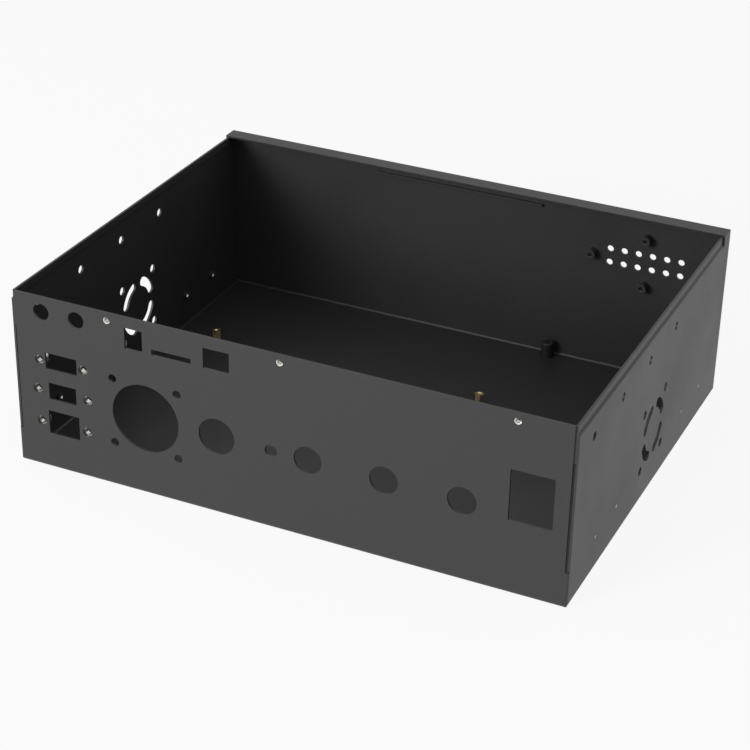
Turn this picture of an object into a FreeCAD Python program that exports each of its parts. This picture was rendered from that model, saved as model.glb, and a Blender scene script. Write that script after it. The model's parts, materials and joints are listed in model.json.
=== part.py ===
import FreeCAD, Part
import math
import os

# Sheet metal chassis: an open tray folded from one sheet, with welded corners, side tops
# stepped inward for the lid, a lip along the back, and the pressed-in hardware it carries.
# Millimetres, +Z up, -Y the front. The part is drawn from the outer front left bottom corner
# and moved at the end, so that its origin is the middle of the underside.

Vector = FreeCAD.Vector
ACROSS = Vector(1, 0, 0)
BACKWARD = Vector(0, 1, 0)
UP = Vector(0, 0, 1)

# ---- The folded sheet ------------------------------------------------------------------
width = 370.0
depth = 289.0
wall_height = 121.2
sheet = 1.5
bend_inside = 1.5
bend_outside = bend_inside + sheet

# ---- Room for the lid ------------------------------------------------------------------
# The lid's flanges lie outside the stepped-in side tops and its top meets the raised lip.
lid_sheet = 1.2
step_in = lid_sheet
step_height = 1.8
side_top_band = 6.7
lip_height = wall_height + lid_sheet
lip_depth = 13.5
relief_width = 1.2
relief_overrun = 1.0

# ---- Front corners ---------------------------------------------------------------------
# The front panel stops short of each side wall. The gap is welded at its two ends.
corner_gap = step_in
side_setback = 1.0
weld_length_low = 24.4
weld_length_high = 24.3
ground_corner_radius = 1.2

# ---- Threads, drawn at their core diameter ------------------------------------------------
m3_outside = 3.0
m3_core = 2.5
m4_core = 3.4
thread_gap = 0.05
press_gap = 0.05

# ---- Front panel, from its left end ---------------------------------------------------------
antenna_holes_x = (21.5, 46.3)
antenna_hole_z = 110.7
antenna_hole = 11.1

ports_floor_z = 99.7
usb_window = (80.2, 12.3, 14.2)
card_window = (98.8, 26.9, 4.0)
network_window = (134.0, 17.6, 13.7)

# Three windows in one column, each between two jack screw nuts.
connector_x = 33.75
connector_windows = (
    # width, height, middle height, nut spacing, nut height
    (22.5, 11.2, 77.4, 31.3, 77.0),
    (19.7, 11.6, 56.4, 36.1, 56.2),
    (22.2, 16.4, 34.0, 33.2, 33.3),
)

socket_row_z = 54.7
large_socket_x = 92.9
large_socket_z = 54.2
large_socket_hole = 46.3
large_socket_screw_square = 45.0
large_socket_screw_hole = 5.6
jack_x = 142.2
jack_hole = 24.4
power_x = 179.0
power_hole = 8.2
power_flats = 7.0

# The right end of the panel is set out from its right edge.
inlet_width = 27.1
inlet_height = 34.1
inlet_floor_z = 50.0
inlet_right_margin = 11.9
round_socket_hole = 18.4
round_socket_after_power = 24.5
round_socket_before_inlet = 28.6
round_sockets = 3

lid_nut_z = 115.8
lid_nut_left_x = 68.2
lid_nut_right_margin = 36.4

# ---- Side walls, the same pattern in both ---------------------------------------------------
side_row_start = 27.0
side_row_pitch = 50.0
side_row_count = 4
side_row_z = 101.7
side_row_hole = 5.8
fan_behind_middle = 1.0
fan_z = 44.3
fan_screw_square = 40.0
fan_screw_hole = 6.0
fan_slot_outer_radius = 20.5
fan_slot_inner_radius = 14.0
fan_slot_bridge = 6.0
side_nut_z = 24.0
side_nut_reaches = (64.0, 101.4)

# ---- Back wall, from its right edge ---------------------------------------------------------
vent_hole = 4.6
vent_pitch = 10.0
vent_columns = 6
vent_rows = 2
vent_last_right_margin = 30.9
vent_low_z = 80.5
wall_standoff_pair_right_margin = 55.4
wall_standoff_pair_spacing = 35.0
wall_standoff_single_before_pair = 37.7
wall_standoff_middle_z = 85.7

# ---- Lid tongue bar, welded along the back wall under the lip -----------------------------------
bar_start_x = 114.0
bar_length = 125.0
bar_thickness = 1.8
bar_reach = 2.2
bar_under_lip = 9.0

# ---- Hardware pressed into the sheet --------------------------------------------------------
lid_nut_shank = 5.4
lid_nut_head = 7.9
lid_nut_head_height = 2.0
lid_nut_mouth = 4.4
connector_nut_panel_hole = 6.3
connector_nut_outside = 8.6
connector_nut_bore = 4.8
connector_nut_height = 3.0
side_nut_shank = 4.2
side_nut_head = 6.4
side_nut_head_height = 1.5
wall_standoff_shank = 5.0
wall_standoff_outside = 7.0
wall_standoff_length = 6.5
wall_standoff_mouth = 3.2

# ---- Board standoffs, their screws and the rear spacer ----------------------------------------
board_left_x = 31.6
board_back_y = 199.6
board_spacing_x = 201.5
board_spacing_y = 160.0
standoff_flats = 5.5
standoff_height = 6.0
standoff_mouth = 3.4
screw_head = 5.5
screw_shank_hole = 3.2
screw_reach = 4.0
screw_head_gap = 0.05
screw_end_gap = 0.3
cross_recess_length = 2.8
cross_recess_width = 0.7
cross_recess_depth = 1.1
spacer_x = 251.0
spacer_clear_of_bend = 0.1
spacer_outside = 8.8
spacer_height = 11.0
spacer_chamfer = 0.6

# Cutting tools run past the faces they cut by this much.
overrun = 1.0


def block(x_low, x_high, y_low, y_high, z_low, z_high):
    """Box between two opposite corners."""
    low = Vector(x_low, y_low, z_low)
    return Part.makeBox(x_high - x_low, y_high - y_low, z_high - z_low, low)


def rounded_outline(corners, place):
    """Closed wire through corners given as (u, v, radius), with each radius as a tangent arc.

    place turns a flat (u, v) into a point in space.
    """
    arcs = []
    count = len(corners)
    for index in range(count):
        u, v, radius = corners[index]
        corner = Vector(u, v, 0)
        before = Vector(corners[index - 1][0], corners[index - 1][1], 0)
        after = Vector(corners[(index + 1) % count][0], corners[(index + 1) % count][1], 0)
        to_before = (before - corner).normalize()
        to_after = (after - corner).normalize()
        half_angle = to_before.getAngle(to_after) / 2
        reach = radius / math.tan(half_angle)
        inward = (to_before + to_after).normalize()
        crown = corner + inward * (radius / math.sin(half_angle) - radius)
        arcs.append((corner + to_before * reach, crown, corner + to_after * reach, radius))
    edges = []
    for index in range(count):
        start, crown, end, radius = arcs[index]
        previous_end = arcs[index - 1][2]
        edges.append(Part.makeLine(place(previous_end), place(start)))
        if radius > 0:
            edges.append(Part.Arc(place(start), place(crown), place(end)).toShape())
    return Part.Wire(edges)


def seen_from_front(point):
    """Flat (u, v) as X and Z."""
    return Vector(point.x, 0, point.y)


def seen_from_side(point):
    """Flat (u, v) as Y and Z."""
    return Vector(0, point.x, point.y)


def seen_from_above(point):
    """Flat (u, v) as X and Y."""
    return Vector(point.x, point.y, 0)


def cross_section(inset, bottom_radius, top):
    """Width and height of the tray, bent at both bottom edges, run from front to back."""
    corners = [
        (inset, inset, bottom_radius),
        (width - inset, inset, bottom_radius),
        (width - inset, top, 0),
        (inset, top, 0),
    ]
    return Part.Face(rounded_outline(corners, seen_from_front)).extrude(BACKWARD * depth)


def long_section(inset, radius, top):
    """Depth and height of the tray, bent at the front, the back and over into the lip."""
    corners = [
        (inset, inset, radius),
        (depth - inset, inset, radius),
        (depth - inset, top, radius),
        (inset, top, 0),
    ]
    return Part.Face(rounded_outline(corners, seen_from_side)).extrude(ACROSS * width)


def ground_plan():
    """Outline from above, with the welded corners ground to a small radius."""
    corners = [
        (0, 0, ground_corner_radius),
        (width, 0, ground_corner_radius),
        (width, depth, ground_corner_radius),
        (0, depth, ground_corner_radius),
    ]
    return Part.Face(rounded_outline(corners, seen_from_above)).extrude(UP * lip_height)


def folded_tray():
    """The sheet folded up on four sides, open on top as far as the back lip."""
    outside = cross_section(0, bend_outside, lip_height)
    outside = outside.common(long_section(0, bend_outside, lip_height)).common(ground_plan())
    inside = cross_section(sheet, bend_inside, lip_height)
    inside = inside.common(long_section(sheet, bend_inside, lip_height - sheet))
    tray = outside.cut(inside)
    lip_front = depth - lip_depth
    above_walls = block(-overrun, width + overrun, -overrun, lip_front,
                        wall_height, lip_height + overrun)
    mouth = block(sheet, width - sheet, sheet, lip_front,
                  lip_height - 2 * sheet, lip_height + overrun)
    return tray.cut(above_walls).cut(mouth)


def stepped_side_top():
    """Top of the right side wall: an S bend inward, then a band that the lid's flange covers.

    The S bend is two equal arcs. Their middle radius follows from its step and height.
    """
    start_z = wall_height - side_top_band
    middle_radius = (step_in ** 2 + step_height ** 2) / (4 * step_in)
    turn = 2 * math.atan(step_in / step_height)
    first = Vector(width - sheet / 2 - middle_radius, 0, start_z)
    toward_second = Vector(math.cos(turn), 0, math.sin(turn))
    second = first + toward_second * (2 * middle_radius)

    def face_line(offset):
        """Edges of the face that lies this far outward from the middle of the sheet."""
        low_radius = middle_radius + offset
        high_radius = middle_radius - offset
        half_turn = Vector(math.cos(turn / 2), 0, math.sin(turn / 2))
        low_start = first + ACROSS * low_radius
        low_end = first + toward_second * low_radius
        high_end = second - ACROSS * high_radius
        top = Vector(high_end.x, 0, wall_height)
        low_arc = Part.Arc(low_start, first + half_turn * low_radius, low_end).toShape()
        high_arc = Part.Arc(low_end, second - half_turn * high_radius, high_end).toShape()
        return low_start, top, [low_arc, high_arc, Part.makeLine(high_end, top)]

    outer_start, outer_top, outer_edges = face_line(sheet / 2)
    inner_start, inner_top, inner_edges = face_line(-sheet / 2)
    closing = [Part.makeLine(outer_top, inner_top), Part.makeLine(inner_start, outer_start)]
    section = Part.Face(Part.Wire(Part.__sortEdges__(outer_edges + inner_edges + closing)))
    run = depth - lip_depth - relief_width - side_setback
    band = section.extrude(BACKWARD * run)
    band.translate(BACKWARD * side_setback)
    return band


def mirrored_left(shape):
    """The same shape on the left side."""
    return shape.mirror(Vector(width / 2, 0, 0), ACROSS)


def both_sides(shape):
    """A shape of the right side and its mirror image."""
    return [shape, mirrored_left(shape)]


def with_side_tops(tray):
    """Replaces the plain tops of the side walls by the stepped ones, up to a relief slit."""
    start_z = wall_height - side_top_band
    slit_back = depth - lip_depth
    slit_front = slit_back - relief_width
    wall_inner = width - sheet
    plain_top = block(wall_inner, width + overrun, -overrun, slit_back,
                      start_z, lip_height + overrun)
    relief = block(wall_inner - overrun, width + overrun, slit_front, slit_back,
                   start_z - relief_overrun, lip_height + overrun)
    for tool in both_sides(plain_top) + both_sides(relief):
        tray = tray.cut(tool)
    for band in both_sides(stepped_side_top()):
        tray = tray.fuse(band)
    return tray


def with_front_corners(tray):
    """Opens the gap between front panel and side walls, and sets the walls' edges back."""
    panel_end = width - sheet - corner_gap
    wall_inner = width - sheet
    setback = block(panel_end, width + overrun, -overrun, side_setback,
                    weld_length_low, lip_height + overrun)
    gap = block(panel_end, wall_inner, -overrun, sheet,
                weld_length_low, wall_height - weld_length_high)
    for tool in both_sides(setback) + both_sides(gap):
        tray = tray.cut(tool)
    return tray


def through_front(x, z, diameter):
    """Round cutter through the front panel."""
    start = Vector(x, -overrun, z)
    return Part.makeCylinder(diameter / 2, sheet + 2 * overrun, start, BACKWARD)


def window_in_front(x_low, x_high, z_low, z_high):
    """Rectangular cutter through the front panel."""
    return block(x_low, x_high, -overrun, sheet + overrun, z_low, z_high)


def through_sides(y, z, diameter):
    """Round cutter across the tray, through both side walls."""
    start = Vector(-overrun, y, z)
    return Part.makeCylinder(diameter / 2, width + 2 * overrun, start, ACROSS)


def through_back(x, z, diameter):
    """Round cutter through the back wall."""
    start = Vector(x, depth - sheet - overrun, z)
    return Part.makeCylinder(diameter / 2, sheet + 2 * overrun, start, BACKWARD)


def square_corners(u, v, side):
    """Four points of a square about (u, v)."""
    half = side / 2
    return [(u - half, v - half), (u + half, v - half), (u + half, v + half), (u - half, v + half)]


def port_windows():
    """The low row of openings just under the front panel's top edge."""
    cutters = []
    for left, opening_width, opening_height in (usb_window, card_window, network_window):
        right = left + opening_width
        top = ports_floor_z + opening_height
        cutters.append(window_in_front(left, right, ports_floor_z, top))
    for x in antenna_holes_x:
        cutters.append(through_front(x, antenna_hole_z, antenna_hole))
    return cutters


def connector_nut_places():
    """(x, z) of the jack screw nuts beside the connector windows."""
    places = []
    for _, _, _, spacing, nut_z in connector_windows:
        places.append((connector_x - spacing / 2, nut_z))
        places.append((connector_x + spacing / 2, nut_z))
    return places


def connector_openings():
    """The column of three connector windows with the holes of their nuts."""
    cutters = []
    for window_width, window_height, middle_z, _, _ in connector_windows:
        cutters.append(window_in_front(connector_x - window_width / 2, connector_x + window_width / 2,
                                       middle_z - window_height / 2, middle_z + window_height / 2))
    for x, z in connector_nut_places():
        cutters.append(through_front(x, z, connector_nut_panel_hole))
    return cutters


def power_opening():
    """Round hole with a flat above and below."""
    flats = window_in_front(power_x - power_hole, power_x + power_hole,
                            socket_row_z - power_flats / 2, socket_row_z + power_flats / 2)
    return through_front(power_x, socket_row_z, power_hole).common(flats)


def round_socket_places():
    """X of the round sockets, spread evenly between the power hole and the inlet."""
    first = power_x + round_socket_after_power
    last = width - inlet_right_margin - inlet_width - round_socket_before_inlet
    pitch = (last - first) / (round_sockets - 1)
    return [first + index * pitch for index in range(round_sockets)]


def socket_openings():
    """The row of sockets along the middle of the front panel."""
    cutters = [through_front(large_socket_x, large_socket_z, large_socket_hole)]
    for x, z in square_corners(large_socket_x, large_socket_z, large_socket_screw_square):
        cutters.append(through_front(x, z, large_socket_screw_hole))
    cutters.append(through_front(jack_x, socket_row_z, jack_hole))
    cutters.append(power_opening())
    for x in round_socket_places():
        cutters.append(through_front(x, socket_row_z, round_socket_hole))
    inlet_right = width - inlet_right_margin
    cutters.append(window_in_front(inlet_right - inlet_width, inlet_right,
                                   inlet_floor_z, inlet_floor_z + inlet_height))
    return cutters


def lid_nut_places():
    """X of the three lid screw nuts: left, middle and right."""
    return [lid_nut_left_x, width / 2, width - lid_nut_right_margin]


def fan_middle_y():
    """Distance of the side fans' axis from the front."""
    return depth / 2 + fan_behind_middle


def fan_slot(quarter):
    """One of four curved slots around a fan's axis, cut through both side walls."""
    middle_radius = (fan_slot_outer_radius + fan_slot_inner_radius) / 2
    end_radius = (fan_slot_outer_radius - fan_slot_inner_radius) / 2
    end_angle = math.asin((fan_slot_bridge / 2 + end_radius) / middle_radius)
    first = quarter * math.pi / 2 + end_angle
    last = (quarter + 1) * math.pi / 2 - end_angle

    def polar(radius, angle):
        return Vector(-overrun, fan_middle_y() + radius * math.cos(angle),
                      fan_z + radius * math.sin(angle))

    def tip(angle, beyond):
        """Middle of the rounded end at this angle, on its far side."""
        across = end_radius * beyond
        return polar(middle_radius, angle) + Vector(0, -across * math.sin(angle),
                                                    across * math.cos(angle))

    middle = (first + last) / 2
    outer, inner = fan_slot_outer_radius, fan_slot_inner_radius
    edges = [
        Part.Arc(polar(outer, first), polar(outer, middle), polar(outer, last)).toShape(),
        Part.Arc(polar(outer, last), tip(last, 1), polar(inner, last)).toShape(),
        Part.Arc(polar(inner, last), polar(inner, middle), polar(inner, first)).toShape(),
        Part.Arc(polar(inner, first), tip(first, -1), polar(outer, first)).toShape(),
    ]
    return Part.Face(Part.Wire(edges)).extrude(ACROSS * (width + 2 * overrun))


def side_nut_ys():
    """Distance of the side nuts from the front, two on each side of the fan."""
    places = []
    for reach in side_nut_reaches:
        places.append(fan_middle_y() - reach)
        places.append(fan_middle_y() + reach)
    return places


def side_openings():
    """Everything that goes through both side walls."""
    cutters = []
    for index in range(side_row_count):
        y = side_row_start + index * side_row_pitch
        cutters.append(through_sides(y, side_row_z, side_row_hole))
    for y, z in square_corners(fan_middle_y(), fan_z, fan_screw_square):
        cutters.append(through_sides(y, z, fan_screw_hole))
    for quarter in range(4):
        cutters.append(fan_slot(quarter))
    for y in side_nut_ys():
        cutters.append(through_sides(y, side_nut_z, side_nut_shank))
    return cutters


def wall_standoff_places():
    """(x, z) of the three standoffs on the back wall."""
    pair_x = width - wall_standoff_pair_right_margin
    half = wall_standoff_pair_spacing / 2
    return [
        (pair_x - wall_standoff_single_before_pair, wall_standoff_middle_z),
        (pair_x, wall_standoff_middle_z - half),
        (pair_x, wall_standoff_middle_z + half),
    ]


def back_openings():
    """The small grid of vents and the holes of the wall standoffs."""
    cutters = []
    last_x = width - vent_last_right_margin
    for column in range(vent_columns):
        for row in range(vent_rows):
            x = last_x - column * vent_pitch
            cutters.append(through_back(x, vent_low_z + row * vent_pitch, vent_hole))
    for x, z in wall_standoff_places():
        cutters.append(through_back(x, z, wall_standoff_shank))
    return cutters


def board_standoff_places():
    """(x, y) of the four board standoffs."""
    front_y = board_back_y - board_spacing_y
    right_x = board_left_x + board_spacing_x
    return [(x, y) for x in (board_left_x, right_x) for y in (front_y, board_back_y)]


def spacer_place():
    """(x, y) of the rear spacer, just clear of the bend at the foot of the back wall."""
    from_back = sheet + bend_inside + spacer_clear_of_bend + spacer_outside / 2
    return spacer_x, depth - from_back


def floor_screw_places():
    """(x, y) of every screw that comes up through the base."""
    return board_standoff_places() + [spacer_place()]


def countersink(x, y):
    """Screw hole in the base with a countersink in the underside."""
    cone_depth = (screw_head - screw_shank_hole) / 2 + 2 * screw_head_gap
    mouth = screw_shank_hole / 2 + cone_depth
    hole = Part.makeCylinder(screw_shank_hole / 2, sheet + 2 * overrun, Vector(x, y, -overrun), UP)
    cone = Part.makeCone(mouth, screw_shank_hole / 2, cone_depth, Vector(x, y, 0), UP)
    return hole.fuse(cone)


def chassis_body():
    """The folded and welded sheet with all its openings."""
    tray = with_front_corners(with_side_tops(folded_tray()))
    cutters = port_windows() + connector_openings() + socket_openings()
    cutters += side_openings() + back_openings()
    for x in lid_nut_places():
        cutters.append(through_front(x, lid_nut_z, lid_nut_shank))
    for x, y in floor_screw_places():
        cutters.append(countersink(x, y))
    return tray.cut(Part.Compound(cutters)).removeSplitter()


def turned(outline, start, direction):
    """Solid of revolution: outline of (radius, distance along the axis) about an axis."""
    points = [Vector(radius, 0, along) for radius, along in outline]
    face = Part.Face(Part.makePolygon(points + points[:1]))
    solid = face.revolve(Vector(0, 0, 0), UP, 360)
    turn = FreeCAD.Rotation(UP, direction)
    solid.Placement = FreeCAD.Placement(start, turn)
    return solid


def tapped_mouth(start, direction, core, mouth):
    """Cutter for the chamfer of a tapped hole: widest at start, narrowing along direction."""
    depth_of_flare = (mouth - core) / 2
    return Part.makeCone(mouth / 2, core / 2, depth_of_flare, start, direction)


def pressed_hardware(start, inward, shank, outside, length, core):
    """Nut or standoff pressed into the sheet: a flush shank, a body behind it and a bore.

    start is on the outer face and inward points through the sheet.
    """
    shank_radius = shank / 2 - press_gap
    outline = [
        (core / 2, 0),
        (shank_radius, 0),
        (shank_radius, sheet),
        (outside / 2, sheet),
        (outside / 2, sheet + length),
        (core / 2, sheet + length),
    ]
    return turned(outline, start, inward)


def lid_nuts():
    """Three nuts that take the lid's screws, flush with the front panel."""
    nuts = []
    for x in lid_nut_places():
        start = Vector(x, 0, lid_nut_z)
        nut = pressed_hardware(start, BACKWARD, lid_nut_shank, lid_nut_head,
                               lid_nut_head_height, m4_core)
        nuts.append(nut.cut(tapped_mouth(start, BACKWARD, m4_core, lid_nut_mouth)))
    return nuts


def connector_nuts():
    """Six round nuts fixed behind the panel's clearance holes."""
    nuts = []
    for x, z in connector_nut_places():
        outline = [
            (connector_nut_bore / 2, 0),
            (connector_nut_outside / 2, 0),
            (connector_nut_outside / 2, connector_nut_height),
            (connector_nut_bore / 2, connector_nut_height),
        ]
        nuts.append(turned(outline, Vector(x, sheet, z), BACKWARD))
    return nuts


def side_nuts():
    """Four nuts low in each side wall, flush outside."""
    nuts = []
    for y in side_nut_ys():
        for x, inward in ((0, ACROSS), (width, -ACROSS)):
            nuts.append(pressed_hardware(Vector(x, y, side_nut_z), inward, side_nut_shank,
                                         side_nut_head, side_nut_head_height, m3_core))
    return nuts


def wall_standoffs():
    """Three round standoffs that stand forward from the back wall."""
    posts = []
    for x, z in wall_standoff_places():
        post = pressed_hardware(Vector(x, depth, z), -BACKWARD, wall_standoff_shank,
                                wall_standoff_outside, wall_standoff_length, m3_core)
        tip = Vector(x, depth - sheet - wall_standoff_length, z)
        posts.append(post.cut(tapped_mouth(tip, BACKWARD, m3_core, wall_standoff_mouth)))
    return posts


def lid_tongue_bar():
    """Slim bar along the back wall that the lid's tongues hook under."""
    wall_face = depth - sheet
    top_z = lip_height - bar_under_lip
    return block(bar_start_x, bar_start_x + bar_length, wall_face - bar_reach, wall_face,
                 top_z - bar_thickness, top_z)


def screw_bore(x, y):
    """Cutter for the hole round a floor screw's thread, up to just past the screw's end."""
    height = screw_reach + screw_end_gap - sheet
    return Part.makeCylinder(m3_outside / 2 + thread_gap, height, Vector(x, y, sheet), UP)


def board_standoffs():
    """Four hexagonal standoffs on the base: a floor screw holds each, and a board screw goes in above."""
    corner_radius = standoff_flats / math.sqrt(3)
    posts = []
    for x, y in board_standoff_places():
        base = Vector(x, y, sheet)
        points = []
        for side in range(7):
            angle = side * math.pi / 3
            points.append(base + Vector(math.cos(angle), math.sin(angle), 0) * corner_radius)
        hexagon = Part.Face(Part.makePolygon(points)).extrude(UP * standoff_height)
        bore = Part.makeCylinder(m3_core / 2, standoff_height, base, UP)
        top = base + UP * standoff_height
        mouth = tapped_mouth(top, -UP, m3_core, standoff_mouth)
        posts.append(hexagon.cut(bore.fuse(screw_bore(x, y))).cut(mouth))
    return posts


def rear_spacer():
    """Round plastic spacer on the base, close to the back wall."""
    x, y = spacer_place()
    radius = spacer_outside / 2
    outline = [
        (m3_core / 2, 0),
        (radius, 0),
        (radius, spacer_height - spacer_chamfer),
        (radius - spacer_chamfer, spacer_height),
        (m3_core / 2, spacer_height),
    ]
    return turned(outline, Vector(x, y, sheet), UP).cut(screw_bore(x, y))


def cross_recess(x, y):
    """Cutter for the driver's cross in the head of a floor screw."""
    half_length = cross_recess_length / 2
    half_width = cross_recess_width / 2
    along = block(x - half_length, x + half_length, y - half_width, y + half_width,
                  -overrun, cross_recess_depth)
    square = block(x - half_width, x + half_width, y - half_length, y + half_length,
                   -overrun, cross_recess_depth)
    return along.fuse(square)


def floor_screws():
    """Countersunk screws, flush with the underside, that hold the standoffs and the spacer."""
    shank_radius = m3_outside / 2
    outline = [
        (0, 0),
        (screw_head / 2, 0),
        (shank_radius, screw_head / 2 - shank_radius),
        (shank_radius, screw_reach),
        (0, screw_reach),
    ]
    screws = []
    for x, y in floor_screw_places():
        screws.append(turned(outline, Vector(x, y, 0), UP).cut(cross_recess(x, y)))
    return screws


def write_node(name, shape):
    """Moves a sub-part to the shared origin and writes its file."""
    shape.translate(Vector(-width / 2, -depth / 2, 0))
    shape.exportStep("parts/" + name + ".step")


os.makedirs("parts", exist_ok=True)
write_node("chassis_body", chassis_body())
write_node("lid_tongue_bar", lid_tongue_bar())
write_node("lid_nuts", Part.Compound(lid_nuts()))
write_node("connector_nuts", Part.Compound(connector_nuts()))
write_node("side_nuts", Part.Compound(side_nuts()))
write_node("wall_standoffs", Part.Compound(wall_standoffs()))
write_node("board_standoffs", Part.Compound(board_standoffs()))
write_node("rear_spacer", rear_spacer())
write_node("floor_screws", Part.Compound(floor_screws()))
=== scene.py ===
import json
import math

import bpy
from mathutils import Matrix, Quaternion, Vector


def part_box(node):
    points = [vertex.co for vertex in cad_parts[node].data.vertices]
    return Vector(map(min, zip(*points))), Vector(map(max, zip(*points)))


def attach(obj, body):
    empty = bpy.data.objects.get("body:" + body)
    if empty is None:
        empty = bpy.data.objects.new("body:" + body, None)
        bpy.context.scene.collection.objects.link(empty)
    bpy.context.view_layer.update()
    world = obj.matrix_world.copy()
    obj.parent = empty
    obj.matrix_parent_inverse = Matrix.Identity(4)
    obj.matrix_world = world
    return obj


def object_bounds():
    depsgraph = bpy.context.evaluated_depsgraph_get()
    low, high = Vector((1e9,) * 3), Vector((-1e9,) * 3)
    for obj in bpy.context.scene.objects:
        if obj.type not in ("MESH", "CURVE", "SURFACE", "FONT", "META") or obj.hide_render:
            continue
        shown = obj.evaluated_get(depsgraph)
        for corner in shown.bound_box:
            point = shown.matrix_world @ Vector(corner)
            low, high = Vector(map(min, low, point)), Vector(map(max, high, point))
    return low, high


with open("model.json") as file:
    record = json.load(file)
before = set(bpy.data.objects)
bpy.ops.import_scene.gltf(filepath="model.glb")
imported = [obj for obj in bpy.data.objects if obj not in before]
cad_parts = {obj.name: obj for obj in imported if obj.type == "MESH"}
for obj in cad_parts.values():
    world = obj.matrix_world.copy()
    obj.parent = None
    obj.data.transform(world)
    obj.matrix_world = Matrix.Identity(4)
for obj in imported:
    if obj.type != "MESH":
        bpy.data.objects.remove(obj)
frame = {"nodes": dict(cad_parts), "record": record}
cad_low, cad_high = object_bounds()

# Sheet metal chassis in black powder coat. Metres, in the shared frame: +Z up, -Y the front,
# origin in the middle of the underside. The folded sheet and its hardware come from the frame.
# This script adds their finishes, the threads in the tapped holes, the stage and the camera.

MM = 0.001

M3_CORE = 1.25 * MM
M3_PITCH = 0.5 * MM
M4_CORE = 1.7 * MM
M4_PITCH = 0.7 * MM

# Radii of the countersunk mouths, and how far the threads go in where no box gives it.
LID_NUT_MOUTH = 2.2 * MM
WALL_STANDOFF_MOUTH = 1.6 * MM
BOARD_STANDOFF_MOUTH = 1.7 * MM
BOARD_STANDOFF_THREAD = 3.1 * MM
SIDE_NUT_THREAD = 3.0 * MM

# The threads lie this far off the wall of the bore. The ridge is a share of the pitch.
THREAD_LIFT = 0.02 * MM
RIDGE_SHARE = 0.16
THREAD_COLUMNS = 24
THREAD_ROWS_PER_TURN = 4

COAT_DARK = (0.018, 0.0173, 0.0177)
COAT_LIGHT = (0.031, 0.0295, 0.030)

FLOOR_HALF = 6.0
FLOOR_DROP = 0.2 * MM


# ---- Node helpers --------------------------------------------------------------------------
def new_material(name):
    """Empty node material: (material, its nodes' add function, link function, output node)."""
    material = bpy.data.materials.new(name)
    material.use_nodes = True
    tree = material.node_tree
    tree.nodes.clear()
    output = tree.nodes.new("ShaderNodeOutputMaterial")
    return material, tree.nodes.new, tree.links.new, output


def noise(add, link, coordinates, scale, detail=4.0, roughness=0.55):
    """Noise texture on object coordinates. Scale is in features a metre."""
    node = add("ShaderNodeTexNoise")
    node.inputs["Scale"].default_value = scale
    node.inputs["Detail"].default_value = detail
    node.inputs["Roughness"].default_value = roughness
    link(coordinates, node.inputs["Vector"])
    return node.outputs["Fac"]


def spread(add, link, value, low, high, from_low=0.3, from_high=0.7):
    """Maps a noise value to the range low to high."""
    node = add("ShaderNodeMapRange")
    node.inputs["From Min"].default_value = from_low
    node.inputs["From Max"].default_value = from_high
    node.inputs["To Min"].default_value = low
    node.inputs["To Max"].default_value = high
    link(value, node.inputs["Value"])
    return node.outputs["Result"]


def tinted(add, link, factor, dark, light):
    """Colour between dark and light."""
    node = add("ShaderNodeMix")
    node.data_type = "RGBA"
    node.inputs["A"].default_value = (*dark, 1.0)
    node.inputs["B"].default_value = (*light, 1.0)
    link(factor, node.inputs["Factor"])
    return node.outputs["Result"]


def bumped(add, link, height, distance, strength, under=None):
    """Normal from a height, on top of an earlier normal."""
    node = add("ShaderNodeBump")
    node.inputs["Strength"].default_value = strength
    node.inputs["Distance"].default_value = distance
    link(height, node.inputs["Height"])
    if under is not None:
        link(under, node.inputs["Normal"])
    return node.outputs["Normal"]


def rounded_edges(add, radius):
    """Normal that softens cut edges, as a coat of paint does."""
    node = add("ShaderNodeBevel")
    node.samples = 6
    node.inputs["Radius"].default_value = radius
    return node.outputs["Normal"]


# ---- Materials -----------------------------------------------------------------------------
def powder_coat():
    """Matte black powder coat with a fine sandy grain and a faint drift in shade."""
    material, add, link, output = new_material("powder_coat_black")
    place = add("ShaderNodeTexCoord").outputs["Object"]
    shader = add("ShaderNodeBsdfPrincipled")
    drift = noise(add, link, place, 14.0, 3.0)
    grain = noise(add, link, place, 1500.0, 3.0, 0.6)
    peel = noise(add, link, place, 420.0, 2.0)
    link(tinted(add, link, spread(add, link, grain, 0.0, 1.0), COAT_DARK, COAT_LIGHT),
         shader.inputs["Base Color"])
    link(spread(add, link, drift, 0.46, 0.54), shader.inputs["Roughness"])
    shader.inputs["IOR"].default_value = 1.56
    soft = rounded_edges(add, 0.25 * MM)
    waves = bumped(add, link, peel, 0.06 * MM, 0.35, soft)
    link(bumped(add, link, grain, 0.05 * MM, 0.6, waves), shader.inputs["Normal"])
    link(shader.outputs["BSDF"], output.inputs["Surface"])
    return material


def bare_metal(name, dark, light, low_roughness, high_roughness):
    """Small machined or plated metal piece with slight stains and fine turning marks."""
    material, add, link, output = new_material(name)
    place = add("ShaderNodeTexCoord").outputs["Object"]
    shader = add("ShaderNodeBsdfPrincipled")
    stain = noise(add, link, place, 500.0, 3.0)
    scratch = noise(add, link, place, 4000.0, 2.0)
    link(tinted(add, link, spread(add, link, stain, 0.0, 1.0), dark, light), shader.inputs["Base Color"])
    link(spread(add, link, scratch, low_roughness, high_roughness), shader.inputs["Roughness"])
    shader.inputs["Metallic"].default_value = 1.0
    link(bumped(add, link, scratch, 0.02 * MM, 0.4), shader.inputs["Normal"])
    link(shader.outputs["BSDF"], output.inputs["Surface"])
    return material


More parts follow.
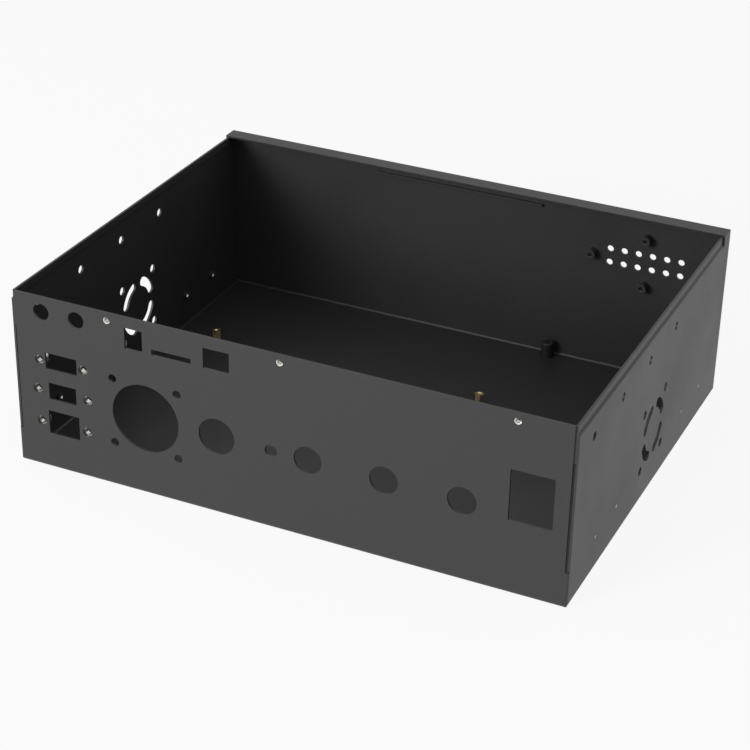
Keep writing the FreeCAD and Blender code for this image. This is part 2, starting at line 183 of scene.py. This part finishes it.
def moulded_nylon():
    """Black nylon with a dull moulded skin."""
    material, add, link, output = new_material("nylon_black")
    place = add("ShaderNodeTexCoord").outputs["Object"]
    shader = add("ShaderNodeBsdfPrincipled")
    skin = noise(add, link, place, 900.0, 3.0)
    link(tinted(add, link, spread(add, link, skin, 0.0, 1.0), (0.006, 0.006, 0.006), (0.012, 0.012, 0.012)),
         shader.inputs["Base Color"])
    link(spread(add, link, skin, 0.5, 0.62), shader.inputs["Roughness"])
    link(bumped(add, link, skin, 0.03 * MM, 0.5, rounded_edges(add, 0.3 * MM)), shader.inputs["Normal"])
    link(shader.outputs["BSDF"], output.inputs["Surface"])
    return material


COAT = powder_coat()
ZINC = bare_metal("zinc_plate", (0.62, 0.61, 0.58), (0.82, 0.81, 0.78), 0.22, 0.38)
BRASS = bare_metal("turned_brass", (0.72, 0.56, 0.30), (0.90, 0.74, 0.46), 0.22, 0.36)
NYLON = moulded_nylon()

NODE_MATERIALS = {
    "chassis_body": COAT,
    "lid_tongue_bar": COAT,
    "lid_nuts": COAT,
    "connector_nuts": ZINC,
    "side_nuts": COAT,
    "wall_standoffs": COAT,
    "board_standoffs": BRASS,
    "rear_spacer": NYLON,
    "floor_screws": ZINC,
}

for node_name, material in NODE_MATERIALS.items():
    node_object = frame["nodes"][node_name]
    for index in range(len(node_object.data.materials)):
        node_object.data.materials[index] = material


# ---- Stage ---------------------------------------------------------------------------------
def looking_rays(add, link):
    """1 for rays that look at the background straight, in a reflection or through a clear piece."""
    rays = add("ShaderNodeLightPath")
    first = add("ShaderNodeMath")
    first.operation = "MAXIMUM"
    link(rays.outputs["Is Camera Ray"], first.inputs[0])
    link(rays.outputs["Is Glossy Ray"], first.inputs[1])
    second = add("ShaderNodeMath")
    second.operation = "MAXIMUM"
    link(first.outputs["Value"], second.inputs[0])
    link(rays.outputs["Is Transmission Ray"], second.inputs[1])
    return second.outputs["Value"]


def stage_white(name, shade, seen_strength):
    """White surface that stays bright behind the object and still takes its shadow."""
    material, add, link, output = new_material(name)
    diffuse = add("ShaderNodeBsdfDiffuse")
    diffuse.inputs["Color"].default_value = (shade, shade, shade, 1.0)
    glow = add("ShaderNodeEmission")
    glow.inputs["Strength"].default_value = 1.0
    seen = add("ShaderNodeMath")
    seen.operation = "MULTIPLY"
    seen.inputs[1].default_value = seen_strength
    link(looking_rays(add, link), seen.inputs[0])
    mix = add("ShaderNodeMixShader")
    link(seen.outputs["Value"], mix.inputs["Fac"])
    link(diffuse.outputs["BSDF"], mix.inputs[1])
    link(glow.outputs["Emission"], mix.inputs[2])
    link(mix.outputs["Shader"], output.inputs["Surface"])
    return material


def floor_plane():
    """Large plain floor under the object."""
    mesh = bpy.data.meshes.new("floor")
    corners = [(-FLOOR_HALF, -FLOOR_HALF, 0), (FLOOR_HALF, -FLOOR_HALF, 0),
               (FLOOR_HALF, FLOOR_HALF, 0), (-FLOOR_HALF, FLOOR_HALF, 0)]
    mesh.from_pydata(corners, [], [(0, 1, 2, 3)])
    floor = bpy.data.objects.new("floor", mesh)
    floor.location.z = cad_low.z - FLOOR_DROP
    mesh.materials.append(stage_white("floor_white", 0.97, 0.9))
    bpy.context.scene.collection.objects.link(floor)


def soft_world(strength):
    """Even surroundings: one strength for lighting, and strength 1 where rays look at them."""
    world = bpy.data.worlds.new("studio")
    bpy.context.scene.world = world
    world.use_nodes = True
    nodes, links = world.node_tree.nodes, world.node_tree.links
    nodes.clear()
    output = nodes.new("ShaderNodeOutputWorld")
    lighting = nodes.new("ShaderNodeBackground")
    lighting.inputs["Strength"].default_value = strength
    shown = nodes.new("ShaderNodeBackground")
    shown.inputs["Strength"].default_value = 1.0
    mix = nodes.new("ShaderNodeMixShader")
    links.new(looking_rays(nodes.new, links.new), mix.inputs["Fac"])
    links.new(lighting.outputs["Background"], mix.inputs[1])
    links.new(shown.outputs["Background"], mix.inputs[2])
    links.new(mix.outputs["Shader"], output.inputs["Surface"])


def soft_lamp(name, place, aim, size, watts):
    """Square area lamp that points at aim."""
    lamp = bpy.data.lights.new(name, "AREA")
    lamp.size = size
    lamp.energy = watts
    lamp_object = bpy.data.objects.new(name, lamp)
    lamp_object.location = place
    toward = Vector(aim) - Vector(place)
    lamp_object.rotation_mode = "QUATERNION"
    lamp_object.rotation_quaternion = toward.to_track_quat("-Z", "Y")
    bpy.context.scene.collection.objects.link(lamp_object)


# ---- Threads in the tapped holes -----------------------------------------------------------
def across(direction):
    """Two unit vectors square to direction and to each other."""
    helper = Vector((0, 0, 1)) if abs(direction.z) < 0.5 else Vector((1, 0, 0))
    first = direction.cross(helper).normalized()
    return first, direction.cross(first)


def tapped_bore(name, start, direction, core, pitch, length, mouth, finish):
    """Thread just inside a bore's wall, with its countersunk mouth at start.

    core and mouth are radii. The ridge is a helix that winds along direction.
    """
    columns = THREAD_COLUMNS
    ridge = RIDGE_SHARE * pitch
    first, second = across(direction)
    flare = max(mouth - core, 0.0)
    rows = max(2, round((length - flare) / pitch * THREAD_ROWS_PER_TURN))
    rings = [(mouth - THREAD_LIFT, 0.0, False)] if flare else []
    for row in range(rows + 1):
        rings.append((core - THREAD_LIFT, flare + (length - flare) * row / rows, True))
    vertices = []
    for radius, along, threaded in rings:
        for column in range(columns):
            turn = column / columns
            phase = (along / pitch - turn) % 1.0
            depth = ridge * (1.0 - abs(2.0 * phase - 1.0)) if threaded else 0.0
            angle = turn * math.tau
            outward = first * math.cos(angle) + second * math.sin(angle)
            vertices.append(start + direction * along + outward * (radius - depth))
    faces = []
    for row in range(len(rings) - 1):
        for column in range(columns):
            after = (column + 1) % columns
            low, high = row * columns, (row + 1) * columns
            faces.append((low + column, low + after, high + after, high + column))
    mesh = bpy.data.meshes.new(name)
    mesh.from_pydata([tuple(v) for v in vertices], [], faces)
    mesh.materials.append(finish)
    piece = bpy.data.objects.new(name, mesh)
    bpy.context.scene.collection.objects.link(piece)
    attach(piece, "root")


MOUNTS = {mount["name"]: mount for mount in frame["record"]["mounts"]}


def pattern_points(name):
    """Places of the holes of a mount: its own point, or the holes of its pattern."""
    mount = MOUNTS[name]
    centre = Vector(mount["pos_m"])
    outward = Vector(mount["axis"])
    square = [Vector(unit) for unit in ((1, 0, 0), (0, 1, 0), (0, 0, 1))
              if abs(Vector(unit).dot(outward)) < 0.5]
    points = [centre]
    for key, step in zip(("spacing_x_mm", "spacing_y_mm"), square):
        half = mount["dims"].get(key, 0.0) * MM / 2
        if half:
            points = [point + step * sign * half for point in points for sign in (-1, 1)]
    return points, outward


def thread_all(prefix, mounts, face, core, pitch, length, mouth, finish):
    """A thread in each hole of these mounts. face is how far the mouth lies along the axis."""
    count = 0
    for name in mounts:
        points, outward = pattern_points(name)
        for point in points:
            start = point - outward * point.dot(outward) + outward * face
            count += 1
            tapped_bore(f"{prefix}_{count}", start, -outward, core, pitch, length, mouth, finish)


def all_threads():
    """Threads in the lid nuts, side nuts, wall standoffs and board standoffs."""
    low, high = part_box("lid_nuts")
    thread_all("lid_nut_thread", ("lid_screws_left_pair", "lid_screw_right"),
               -low.y, M4_CORE, M4_PITCH, high.y - low.y, LID_NUT_MOUTH, ZINC)
    low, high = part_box("side_nuts")
    for side in ("left", "right"):
        names = (f"side_nuts_outer_pair_{side}", f"side_nuts_inner_pair_{side}")
        thread_all(f"side_nut_thread_{side}", names, high.x, M3_CORE, M3_PITCH, SIDE_NUT_THREAD,
                   M3_CORE, ZINC)
    low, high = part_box("wall_standoffs")
    thread_all("wall_standoff_thread", ("wall_standoff_pair", "wall_standoff_single"),
               -low.y, M3_CORE, M3_PITCH, high.y - low.y, WALL_STANDOFF_MOUTH, COAT)
    low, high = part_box("board_standoffs")
    thread_all("board_standoff_thread", ("board_standoffs",),
               high.z, M3_CORE, M3_PITCH, BOARD_STANDOFF_THREAD, BOARD_STANDOFF_MOUTH, BRASS)


# ---- Camera and lights -----------------------------------------------------------------------
CAMERA_PLACE = Vector((0.4855, -1.0817, 0.6900))
CAMERA_AIM = Vector((0.0138, -0.0402, 0.0600))
CAMERA_ROLL = math.radians(1.263)
CAMERA_LENS = 99.35


def right_front_camera():
    """Camera off the right front corner, looking down into the tray."""
    data = bpy.data.cameras.new("camera")
    data.lens = CAMERA_LENS
    data.sensor_width = 36.0
    camera = bpy.data.objects.new("camera", data)
    camera.location = CAMERA_PLACE
    camera.rotation_mode = "QUATERNION"
    level = (CAMERA_AIM - CAMERA_PLACE).to_track_quat("-Z", "Y")
    camera.rotation_quaternion = level @ Quaternion((0, 0, 1), CAMERA_ROLL)
    bpy.context.scene.collection.objects.link(camera)
    bpy.context.scene.camera = camera


bpy.context.scene.view_settings.view_transform = "Standard"
all_threads()
floor_plane()
soft_world(0.48)
soft_lamp("front_softbox", (-0.95, -2.05, 0.88), (0, 0, 0.05), 0.8, 31.0)
right_front_camera()
